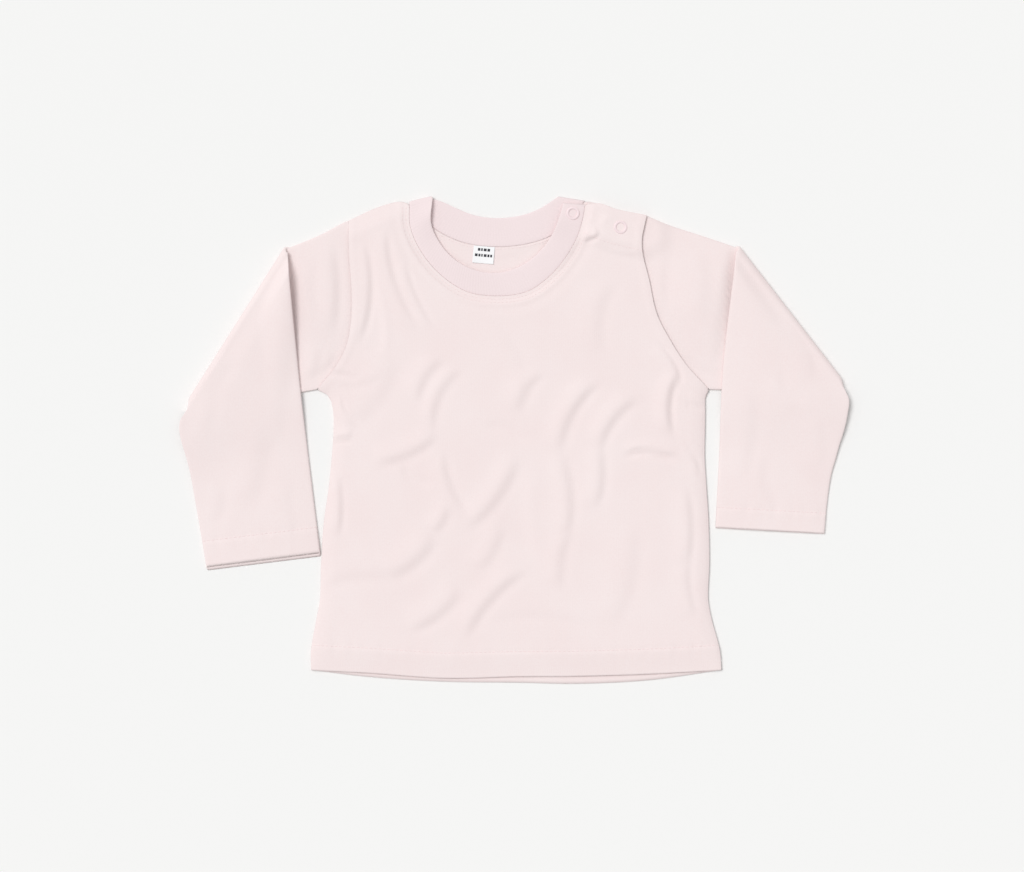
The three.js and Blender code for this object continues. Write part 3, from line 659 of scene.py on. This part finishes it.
def sleeve_tube(side):
    """Rings of points, outside and inside, from the armhole to the cuff."""
    shape, sign = SLEEVES[side], SIGN[side]
    apex, elbow, underarm = (np.array(shape[key]) for key in ("apex", "elbow", "underarm"))
    crease = (elbow - apex) / np.linalg.norm(elbow - apex)
    out = np.array([-crease[1], crease[0]]) * sign
    shoulder, inner, outer = (curve(*shape[key].values()) for key in ("shoulder", "inner", "outer"))
    top_start, under_start = inner(np.array(0.0)), outer(np.array(0.0))
    edge_way = (under_start - underarm) / np.linalg.norm(under_start - underarm)
    below = np.array([edge_way[1], -edge_way[0]]) * sign
    shoulder_end = shoulder(np.array(1.0))
    cuff_start, up_sleeve = cuff_frame(side)
    hole = armhole[side]
    edge_x, edge_y = inner(np.linspace(1, 0, 50)).T

    def section(k, stage, t):
        """Points across one section; k runs 0 to 1 through the stage."""
        if stage == "upper":
            top = shoulder(np.array(k))
            under = underarm + (under_start - underarm) * k
            straight = top + (under - top) * t[:, None]
            ahead, behind = hole(np.clip(1.01 - t, 0, 1)), hole(np.clip(0.99 - t, 0, 1))
            way = (ahead - behind) / np.linalg.norm(ahead - behind, axis=1, keepdims=True)
            curved = hole(1 - t) + 0.1 * sign * np.stack([way[:, 1], -way[:, 0]], axis=1)
            return curved + (straight - curved) * smooth(k)
        if stage == "bend":
            top = shoulder_end + (top_start - shoulder_end) * smooth(k)
            return top + (under_start - top) * t[:, None]
        return inner(np.array(k)) + (outer(np.array(k)) - inner(np.array(k))) * t[:, None]

    def place(k, stage, t, h):
        """A point of the wall: t across the sleeve, h up through its two layers as it lay flat."""
        angle = {"upper": 0.0, "bend": math.pi * k, "forearm": math.pi}[stage]
        p = section(k, stage, t)
        radius = BEND_AXIS - h
        p = p + out * (radius * math.sin(angle) * (1 - smooth((t - 1 + CORNER) / CORNER)))[:, None]
        z = BEND_AXIS - radius * math.cos(angle)
        top_share = np.clip(h / PAIR, 0, 1)
        x, y = p[:, 0], p[:, 1]
        middle = np.sin(np.pi * np.clip(t, 0, 1)) ** 0.7
        if stage == "forearm":
            from_crease = np.maximum(-((p - apex) @ out) - 4, 0)
            past_edge = (p - under_start) @ below
            z = z - FOLD_LOOP * smooth(from_crease / SETTLE) - 2 * LAYER * smooth((past_edge - 1) / DRAPE)
            # beside the apex the springy fold holds the inner edge up
            z = z + (shape["wedge"] * smooth(1 - t / shape["wedge_reach"]) * smooth(from_crease / 9)
                     * (1 - smooth((from_crease - 12) / 42)))
            from_cuff = (p - cuff_start) @ up_sleeve
            shown = 1 - top_share
            z = z + shown * (crease_height(SLEEVE_CREASES[side], x, y) * smooth(from_cuff / 20) * middle
                             + 1.3 * middle * smooth(from_crease / 14)
                             + hem_relief(from_cuff, t * 80, shape["hem"], 4.0 + sign))
            gape = shape["cuff_gape"] * smooth((k - 0.8) / 0.2) * top_share
            p = p - up_sleeve * gape[:, None]
        elif stage == "upper":
            from_forearm = distance_to(inner, x, y)[0]
            from_armhole = distance_to(hole, x, y)[0]
            uncovered = (x - np.interp(y, edge_y, edge_x)) * sign < 0
            # it arches up, then falls into the fold beside the forearm
            arch = shape["arch"] * smooth(from_armhole / 26) * (0.35 + 0.65 * smooth((y - 20) / 90))
            relief = crease_height(SLEEVE_CREASES[side], x, y) + arch
            relief = relief * smooth(from_forearm / shape["fall"]) * uncovered * middle
            z = z + top_share * (relief + PLACKET_RISE * placket_lift(x, y))
        return np.column_stack([p, z])

    sections = ([(k, "upper") for k in eased(UPPER_STEPS, 0.1)]
                + [(k, "bend") for k in np.linspace(0, 1, BEND_STEPS + 1)[1:]]
                + [(k, "forearm") for k in eased(FOREARM_STEPS, 0.08)[1:]])

    def loop(k, stage, inset, low, high):
        """One ring round the tube; inset sets the inner ring in from the outer one."""
        ends = section(k, stage, np.array([0.0, 1.0]))
        width = float(np.linalg.norm(ends[1] - ends[0]))
        flat = np.linspace(0, 1, AROUND)
        round_mm = 1.1 if inset == 0 else 0.35
        mm = inset + round_mm + (width - 2 * (inset + round_mm)) * flat
        corner = np.linspace(0, np.pi, 7)[1:-1]
        mid, half = (low + high) / 2, (high - low) / 2
        first_mm = inset + round_mm * (1 - np.sin(corner))
        t = np.concatenate([mm, width - first_mm, mm[::-1], first_mm]) / width
        h = np.concatenate([
            np.full(AROUND, low), mid - half * np.cos(corner), np.full(AROUND, high),
            mid + half * np.cos(corner)])
        return place(k, stage, t, h)

    return [(loop(k, stage, 0, 0.0, PAIR), loop(k, stage, CLOTH, CLOTH, PAIR - CLOTH))
            for k, stage in sections]


def tube_piece(name, side):
    """A sleeve's wall, closed at its armhole and cuff edges."""
    rings = sleeve_tube(side)
    count = len(rings[0][0])
    points = np.vstack([np.vstack([outside, inside]) for outside, inside in rings])
    s, k = (a.ravel() for a in np.mgrid[0:len(rings) - 1, 0:count])

    def o(row, col):
        """Number of a point outside the tube."""
        return row * 2 * count + col % count

    def i(row, col):
        """Number of a point inside the tube."""
        return o(row, col) + count

    last = len(rings) - 1
    ring = np.arange(count)
    faces = np.vstack([
        np.stack([o(s, k), o(s, k + 1), o(s + 1, k + 1), o(s + 1, k)], axis=1),
        np.stack([i(s, k), i(s + 1, k), i(s + 1, k + 1), i(s, k + 1)], axis=1),
        np.stack([o(0, ring), i(0, ring), i(0, ring + 1), o(0, ring + 1)], axis=1),
        np.stack([o(last, ring), o(last, ring + 1), i(last, ring + 1), i(last, ring)], axis=1)])
    if side == "right":
        faces = faces[:, ::-1]
    points[:, 2] = np.maximum(points[:, 2], 0.0)
    return make_piece(name, points, faces, jersey)


sleeves = {side: tube_piece("sleeve_" + side + "_cloth", side) for side in SLEEVES}
for side, piece in sleeves.items():
    print("sleeve", side, len(piece.data.polygons), "faces, bounds mm",
          [round(v / MM, 1) for v in np.array(piece.bound_box).max(axis=0)])

# %% [markdown]
# ## Neckband
# One strip of rib, folded double along its free edge and sewn to the neck by both cut edges. The rib's
# columns run across the strip, so its pattern follows the strip's own length, kept in a UV map. The
# strip comes down round the front, turns over at the left shoulder and goes back along the neck behind.

# %% Neckband
BAND_STEPS = {"front": 150, "turn": 10, "back": 90}
EDGE_LIFT, BAND_WIDTH = 3.2, 16.0
# at the left shoulder the strip turns over about this height, clear by the gap
TURN_GAP, TURN_AXIS = 0.15, 1.75


def neckband_piece():
    """The doubled strip, swept from the front's right end round to the back's; and its length."""
    rings, lengths = [], []
    profile = np.linspace(0, 2 * np.pi, 29)[:-1]
    across = 0.5 + 0.5 * np.sign(np.cos(profile)) * np.abs(np.cos(profile)) ** 0.28
    through = 0.5 + 0.5 * np.sign(np.sin(profile)) * np.abs(np.sin(profile)) ** 0.45
    travelled = 0.0
    before = None
    plan = []
    for rows, part in ((BAND_FRONT, "front"), (BAND_BACK, "back")):
        edge, seam = curve(rows["edge_x"], rows["edge_y"]), curve(rows["seam_x"], rows["seam_y"])
        steps = BAND_STEPS[part]
        for n in range(steps + 1):
            t = n / steps
            base = float(band_base(t)) if part == "front" else 0.0
            raised = 0.0
            if part == "front":
                raised = EDGE_LIFT * math.exp(-((t - 0.94) / 0.07) ** 2) + math.exp(-((t - 0.66) / 0.2) ** 2)
                raised += 1.4 * math.exp(-((t - 0.10) / 0.05) ** 2)
            plan.append((part, edge(np.array(t)), seam(np.array(t)), base, 0.0, raised))
        if part == "front":
            _, e, s, base, _, raised = plan[-1]
            for angle in np.linspace(0, math.pi, BAND_STEPS["turn"] + 1)[1:-1]:
                plan.append(("turn", e, s, base, angle, raised * (1 + math.cos(angle)) / 2))
    for part, edge, seam, base, angle, raised in plan:
        way = (edge - seam) / np.linalg.norm(edge - seam)
        outward = np.array([-way[1], way[0]])
        xy = edge[None] + (seam - edge)[None] * across[:, None]
        crown = 0.3 * np.sin(np.pi * across) ** 0.6
        h = through * RIB + crown * (through - 0.2)
        if part == "turn":
            radius = TURN_GAP + h
            xy = xy + outward[None] * (radius * math.sin(angle))[:, None]
            z = TURN_AXIS + radius * math.cos(angle)
        else:
            z = base + h if part == "front" else base + RIB - h + 0.25
        z = z + raised * (1 - across) ** 1.5
        middle = (edge + seam) / 2
        if before is not None:
            travelled += float(np.linalg.norm(middle - before)) + (0.6 if part == "turn" else 0.0)
        before = middle
        rings.append(np.column_stack([xy, np.maximum(z, 0.0)]))
        lengths.append(travelled)
    count = len(profile)
    points = np.vstack(rings)
    uv = np.column_stack([np.repeat(lengths, count), np.tile(across * BAND_WIDTH, len(rings))])
    s, k = (a.ravel() for a in np.mgrid[0:len(rings) - 1, 0:count])

    def at(row, col):
        """Number of a point of the strip."""
        return row * count + col % count

    faces = np.stack([at(s, k), at(s, k + 1), at(s + 1, k + 1), at(s + 1, k)], axis=1).tolist()
    faces.append(list(range(count))[::-1])
    faces.append([at(len(rings) - 1, c) for c in range(count)])
    return make_piece("neckband_rib", points, faces, rib, uv), travelled


band, band_length = neckband_piece()
mesh_check = bmesh.new()
mesh_check.from_mesh(band.data)
bmesh.ops.recalc_face_normals(mesh_check, faces=mesh_check.faces)
mesh_check.to_mesh(band.data)
mesh_check.free()
print("neckband: strip", round(band_length), "mm long")

# %% [markdown]
# ## Placket strips, label and press studs
# Two faced strips lie hidden between front and back under the right shoulder, and carry the studs. Each
# stud shows as an open ring pressed into the cloth. The label is a scrap of ribbon sewn in under the
# neckband. It carries no words: only two rows of plain bars stand where print would be.


# %% Placket strips
def placket_strip(name, low):
    """One hidden strip under the right shoulder, and its area."""
    shoulder = curve(RIGHT_SHOULDER["x"], RIGHT_SHOULDER["y"] - 0.8)
    t = np.linspace(0.02, 0.98, 40)
    top = shoulder(t)
    bottom = np.linspace((46.9, 149.8), (88.6, 138.0), 40)
    v = np.linspace(0, 1, 18)[:, None, None]
    points = bottom[None] * (1 - v) + top[None] * v
    flat = np.full(points.shape[:2], low)
    return wall(name, points, flat, flat + CLOTH, jersey, 0.25), area_of(points)


underlap, underlap_area = placket_strip("placket_underlap", 1.32)
facing, facing_area = placket_strip("placket_facing", 2.62)


# %% Press-stud rings
def turned_piece(name, profile, centre, material, around=48):
    """A closed profile (radius, height) in mm, turned round a point."""
    angle = np.arange(around) * 2 * np.pi / around
    points = np.array([(centre[0] + r * math.cos(a), centre[1] + r * math.sin(a), z)
                       for a in angle for r, z in profile])
    n = len(profile)
    faces = [(a * n + p, a * n + (p + 1) % n, (a + 1) % around * n + (p + 1) % n, (a + 1) % around * n + p)
             for a in range(around) for p in range(n)]
    return make_piece(name, points, [face[::-1] for face in faces], material)


def ring_profile(base):
    """Outline of a press stud's ring, from its hole to its rim, standing on base."""
    turn = np.linspace(0, 2 * np.pi, 17)[:-1]
    middle, half = (SNAP_RADIUS + SNAP_HOLE) / 2, (SNAP_RADIUS - SNAP_HOLE) / 2
    radii = middle + half * np.sign(np.cos(turn)) * np.abs(np.cos(turn)) ** 0.75
    heights = base + SNAP_HEIGHT * (0.5 + 0.5 * np.sign(np.sin(turn)) * np.abs(np.sin(turn)) ** 0.8)
    return list(zip(radii, heights))


def top_of(pieces, x, y):
    """Height in mm of the uppermost cloth at a point, or None where there is none."""
    heights = []
    for piece in pieces:
        above = Vector(((x + SHIFT[0]) * MM, (y + SHIFT[1]) * MM, 0.05))
        hit, where, _, _ = piece.ray_cast(above, Vector((0, 0, -1)))
        if hit:
            heights.append(where.z / MM)
    return max(heights, default=None)


snap_rings = {}
for place, on in (("neck", band), ("shoulder", front)):
    base = top_of([on], *SNAPS[place]) - 0.15
    snap_rings[place] = turned_piece("snap_ring_" + place, ring_profile(base), SNAPS[place], enamel)
    print("snap on the", place, "at height", round(base, 2), "mm")


# %% Label
BAR_HEIGHT = 1.9
LABEL_WIDTH, LABEL_LENGTH, LABEL_TURN, LABEL_CENTRE = 15.0, 12.2, -0.09, (-22.9, 131.2)


def on_label(u, v):
    """Label coordinates in mm, from its middle, to the top's own."""
    c, s = math.cos(LABEL_TURN), math.sin(LABEL_TURN)
    return np.stack([LABEL_CENTRE[0] + c * u - s * v, LABEL_CENTRE[1] + s * u + c * v], axis=-1)


def label_height(u, v):
    """The label's underside: its lower corners curl up a little."""
    return 1.25 + 0.35 * smooth((LABEL_LENGTH / 2 - v) / LABEL_LENGTH) * (u / 7.5) ** 2 + 0.02 * v


label_u, label_v = np.meshgrid(np.linspace(-LABEL_WIDTH / 2, LABEL_WIDTH / 2, 31),
                               np.linspace(-LABEL_LENGTH / 2, LABEL_LENGTH / 2, 25))
label_low = label_height(label_u, label_v)
label = wall("size_label_ribbon", on_label(label_u, label_v), label_low, label_low + 0.3, satin, 0.05)


def label_bars():
    """Two rows of plain bars: (start, length) along the label, in mm."""
    points, faces = [], []
    rows = {3.6: ((-4.3, 1.7), (-2.0, 1.1), (-0.2, 2.1), (2.5, 1.8)),
            -0.4: ((-6.1, 1.9), (-3.6, 1.4), (-1.6, 1.0), (0.2, 2.0), (2.8, 1.4), (4.8, 1.3))}
    for v, bars in rows.items():
        for start, length in bars:
            u = np.array([start, start + length, start + length, start])
            w = v + BAR_HEIGHT * np.array([-0.5, -0.5, 0.5, 0.5])
            flat = on_label(u, w)
            z = label_height(u, w) + 0.3
            first = len(points)
            points += [(*p, h - 0.05) for p, h in zip(flat, z)] + [(*p, h + 0.06) for p, h in zip(flat, z)]
            box = ((3, 2, 1, 0), (4, 5, 6, 7), (0, 1, 5, 4), (1, 2, 6, 5), (2, 3, 7, 6), (3, 0, 4, 7))
            faces += [tuple(first + i for i in face) for face in box]
    return make_piece("size_label_bars", points, faces, ink)


bars = label_bars()

# %% [markdown]
# ## Stitches
# Rows of stitches hold the hems, the placket and the neck. Geometry Nodes lays them: a row is a line of
# edges, resampled at the stitch pitch, with one short rounded stitch on each point, turned along the
# line. The instances are realized and the result is kept as a plain mesh.


# %% The stitch tree
def stitch_tree():
    """The node group that lays stitches along a line of edges."""
    tree = bpy.data.node_groups.new("sewn_row", "GeometryNodeTree")
    for label_text, kind in (("Geometry", "NodeSocketGeometry"), ("Pitch", "NodeSocketFloat"),
                             ("Stitch Length", "NodeSocketFloat"), ("Thickness", "NodeSocketFloat"),
                             ("Material", "NodeSocketMaterial")):
        tree.interface.new_socket(label_text, in_out="INPUT", socket_type=kind)
    tree.interface.new_socket("Geometry", in_out="OUTPUT", socket_type="NodeSocketGeometry")
    given = tree.nodes.new("NodeGroupInput").outputs
    path = add_node(tree, "GeometryNodeMeshToCurve", {"Mesh": given["Geometry"]})
    spaced = add_node(tree, "GeometryNodeResampleCurve",
                      {"Curve": path.outputs[0], "Length": given["Pitch"]}, mode="LENGTH")
    bead = add_node(tree, "GeometryNodeMeshUVSphere", Segments=8, Rings=5, Radius=0.5)
    size = add_node(tree, "ShaderNodeCombineXYZ", {
        "X": given["Thickness"], "Y": given["Thickness"], "Z": given["Stitch Length"]})
    tangent = add_node(tree, "GeometryNodeInputTangent")
    turn = add_node(tree, "FunctionNodeAlignRotationToVector", {"Vector": tangent.outputs[0]}, axis="Z")
    rows = add_node(tree, "GeometryNodeInstanceOnPoints", {
        "Points": spaced.outputs[0], "Instance": bead.outputs["Mesh"],
        "Rotation": turn.outputs[0], "Scale": size.outputs[0]})
    real = add_node(tree, "GeometryNodeRealizeInstances", {"Geometry": rows.outputs[0]})
    soft = add_node(tree, "GeometryNodeSetShadeSmooth", {"Geometry": real.outputs[0]})
    finish = add_node(tree, "GeometryNodeSetMaterial",
                      {"Geometry": soft.outputs[0], "Material": given["Material"]})
    out = tree.nodes.new("NodeGroupOutput")
    tree.links.new(finish.outputs[0], out.inputs[0])
    return tree


SEWN_ROW = stitch_tree()


def sewn_rows(name, lines, on, pitch, length, thickness):
    """Stitches along lines of (x, y) points, lying on the uppermost of the pieces `on`."""
    points, edges = [], []
    for line in lines:
        sewn = False
        for x, y in line:
            height = top_of(on, x, y)
            if height is not None:
                if sewn:
                    edges.append((len(points) - 1, len(points)))
                points.append(((x + SHIFT[0]) * MM, (y + SHIFT[1]) * MM, (height + thickness * 0.12) * MM))
            sewn = height is not None
    mesh = bpy.data.meshes.new(name + "_line")
    mesh.from_pydata(points, edges, [])
    row = bpy.data.objects.new(name + "_line", mesh)
    bpy.context.scene.collection.objects.link(row)
    modifier = row.modifiers.new("stitches", "NODES")
    modifier.node_group = SEWN_ROW
    sockets = {s.name: s.identifier for s in SEWN_ROW.interface.items_tree if s.in_out == "INPUT"}
    for socket, value in (("Pitch", pitch * MM), ("Stitch Length", length * MM),
                          ("Thickness", thickness * MM), ("Material", thread)):
        modifier[sockets[socket]] = value
    stitched = row.evaluated_get(bpy.context.evaluated_depsgraph_get())
    plain = bpy.data.meshes.new_from_object(stitched)
    plain.name = name
    bpy.data.objects.remove(row)
    piece = bpy.data.objects.new(name, plain)
    bpy.context.scene.collection.objects.link(piece)
    print(name, len(plain.polygons), "faces")
    return piece


def offset_line(path, distance, start=0.0, end=1.0, steps=120):
    """Points at a distance beside a stretch of a curve."""
    t = np.linspace(start, end, steps)
    p = path(t)
    along = np.gradient(p, axis=0)
    along /= np.linalg.norm(along, axis=1, keepdims=True)
    return p + distance * np.stack([-along[:, 1], along[:, 0]], axis=1)


# %% The sewn rows
hem_x = np.linspace(-143, 143, 160)
front_hem_line = np.column_stack([hem_x, np.interp(hem_x, HEMS["x"], HEMS["front"]) + HEM_STITCH - 0.2])
rows_front_hem = sewn_rows("hem_stitches", [front_hem_line], [front], 3.1, 2.3, 0.4)
neck_lines = [offset_line(neck_seam, 2.3, 0.12, 0.985), offset_line(neck_seam, 4.7, 0.12, 0.985)]
rows_neck = sewn_rows("neck_stitches", neck_lines, [front], 2.7, 1.9, 0.3)
rows_back_neck = sewn_rows(
    "back_neck_stitches", [offset_line(back_seam, -1.7, 0.22, 0.80)], [back], 2.7, 1.9, 0.3)
placket_line = curve(*np.array([(47.0, 147.6), (53, 144.2), (63.5, 140.4), (80.6, 136.0), (89.6, 134.2)]).T)
rows_placket = sewn_rows(
    "placket_stitches", [placket_line(np.linspace(0.03, 1, 60))], [front], 2.7, 1.9, 0.32)


def cuff_line(side):
    """A line across the forearm, as far from the cuff's edge as its hem is deep."""
    shape = SLEEVES[side]
    start, up_sleeve = cuff_frame(side)
    ends = []
    for edge in ("inner", "outer"):
        path = curve(*shape[edge].values())(np.linspace(1, 0.4, 200))
        ends.append([np.interp(shape["hem"], (path - start) @ up_sleeve, path[:, k]) for k in (0, 1)])
    return np.linspace(ends[0], ends[1], 62)[1:-1]


rows_cuffs = {side: sewn_rows("cuff_stitches_" + side, [cuff_line(side)], [sleeves[side]], 3.1, 2.3, 0.4)
              for side in SLEEVES}

# %% [markdown]
# ## Which piece stands for which
# Every piece rides on the one rigid body. A piece of cloth hides the plain solid that it stands for. The
# cloth area of each sleeve is worked out and printed.


def declare(piece, slot, *nodes):
    """Let a piece ride on the body and hide the solids it stands for; slot is not used."""
    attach(piece, "root")
    if nodes:
        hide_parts(*nodes)


declare(front, "jersey", "front_panel")
declare(back, "jersey", "back_panel")
for side, piece in sleeves.items():
    declare(piece, "jersey", "sleeve_" + side)
declare(band, "rib", "neckband")
declare(underlap, "jersey", "placket_back")
declare(facing, "jersey", "placket_front")
declare(label, "label", "size_label")
declare(bars, "label")
for place, piece in snap_rings.items():
    declare(piece, "snap", "snap_" + place + "_ring")
    stud = bpy.data.objects["snap_" + place + "_stud"]
    stud.data.materials.clear()
    stud.data.materials.append(enamel)
for piece in (rows_front_hem, rows_neck, rows_back_neck, rows_placket, *rows_cuffs.values()):
    declare(piece, "jersey")


def sleeve_area(side):
    """Cloth of the whole tube, all round, in square metres."""
    shape = SLEEVES[side]
    inner, outer = curve(*shape["inner"].values()), curve(*shape["outer"].values())
    shoulder = curve(*shape["shoulder"].values())
    t, k = np.linspace(0, 1, 12), np.linspace(0, 1, 12)
    under = np.linspace(shape["underarm"], outer(np.array(0.0)), 12)
    upper = np.stack([np.linspace(a, b, 12) for a, b in zip(shoulder(t), under)])
    upper[0] = armhole[side](1 - k)
    forearm = np.stack([np.linspace(a, b, 12) for a, b in zip(inner(t), outer(t))])
    return 2 * (area_of(upper) + area_of(forearm))


for side, piece in sleeves.items():
    sleeve_area(side)
print("sleeve areas, sq m:", {side: round(sleeve_area(side), 4) for side in SLEEVES})

# %% [markdown]
# ## Table, light and camera
# A pale table, an even sky and one broad lamp from the upper left: soft light in which thin creases
# still show. The camera looks straight down, a little to one side of the middle.

# %% Table
TABLE_REACH, TABLE_DROP = 4.0, 0.2 * MM
floor_mesh = bpy.data.meshes.new("table_top")
floor_mesh.from_pydata(
    [(x * TABLE_REACH, y * TABLE_REACH, -TABLE_DROP) for x, y in ((-1, -1), (1, -1), (1, 1), (-1, 1))],
    [], [(0, 1, 2, 3)])
floor = bpy.data.objects.new("table_top", floor_mesh)
bpy.context.scene.collection.objects.link(floor)
paper, paper_tree, paper_shader = new_material("white_paper_board")
grain = add_node(paper_tree, "ShaderNodeTexNoise", Scale=3.0, Detail=2.0)
tint = add_node(paper_tree, "ShaderNodeMix", {"Factor": grain.outputs["Fac"]}, data_type="RGBA")
tint.inputs[6].default_value = linear("#f5f5f4")
tint.inputs[7].default_value = linear("#f7f7f6")
paper_tree.links.new(tint.outputs[2], paper_shader.inputs["Base Color"])
paper_shader.inputs["Roughness"].default_value = 0.95
paper_shader.inputs["Specular IOR Level"].default_value = 0.1
floor_mesh.materials.append(paper)

# %% Light
SKY, LAMP = 0.55, 1.59
world = bpy.data.worlds.new("soft_room")
world.use_nodes = True
room = world.node_tree
sky = room.nodes["Background"]
sky.inputs["Color"].default_value = (1.0, 1.0, 1.0, 1.0)
sky.inputs["Strength"].default_value = SKY
pale = add_node(room, "ShaderNodeBackground", Strength=1.0)
pale.inputs["Color"].default_value = linear("#f6f6f5")
seen_by = add_node(room, "ShaderNodeLightPath")
shown = add_node(room, "ShaderNodeMixShader", {0: seen_by.outputs["Is Camera Ray"], 1: sky.outputs[0],
                                               2: pale.outputs[0]})
room.links.new(shown.outputs[0], room.nodes["World Output"].inputs["Surface"])
bpy.context.scene.world = world
lamp_data = bpy.data.lights.new("broad_lamp", "SUN")
lamp_data.energy = LAMP
lamp_data.angle = math.radians(28)
lamp = bpy.data.objects.new("broad_lamp", lamp_data)
lamp.rotation_euler = Vector((0.42, -0.30, -1.0)).to_track_quat("-Z", "Y").to_euler()
bpy.context.scene.collection.objects.link(lamp)

# %% Camera
VIEW_WIDTH, VIEW_HEIGHT_OVER_TABLE, SENSOR = 727 * MM, 2.0, 36.0
camera_data = bpy.data.cameras.new("camera")
camera_data.sensor_width = SENSOR
camera_data.lens = SENSOR * VIEW_HEIGHT_OVER_TABLE / VIEW_WIDTH
camera = bpy.data.objects.new("camera", camera_data)
camera.location = (-1.6 * MM, 2.8 * MM, VIEW_HEIGHT_OVER_TABLE)
bpy.context.scene.collection.objects.link(camera)
bpy.context.scene.camera = camera
bpy.context.scene.view_settings.view_transform = "Standard"
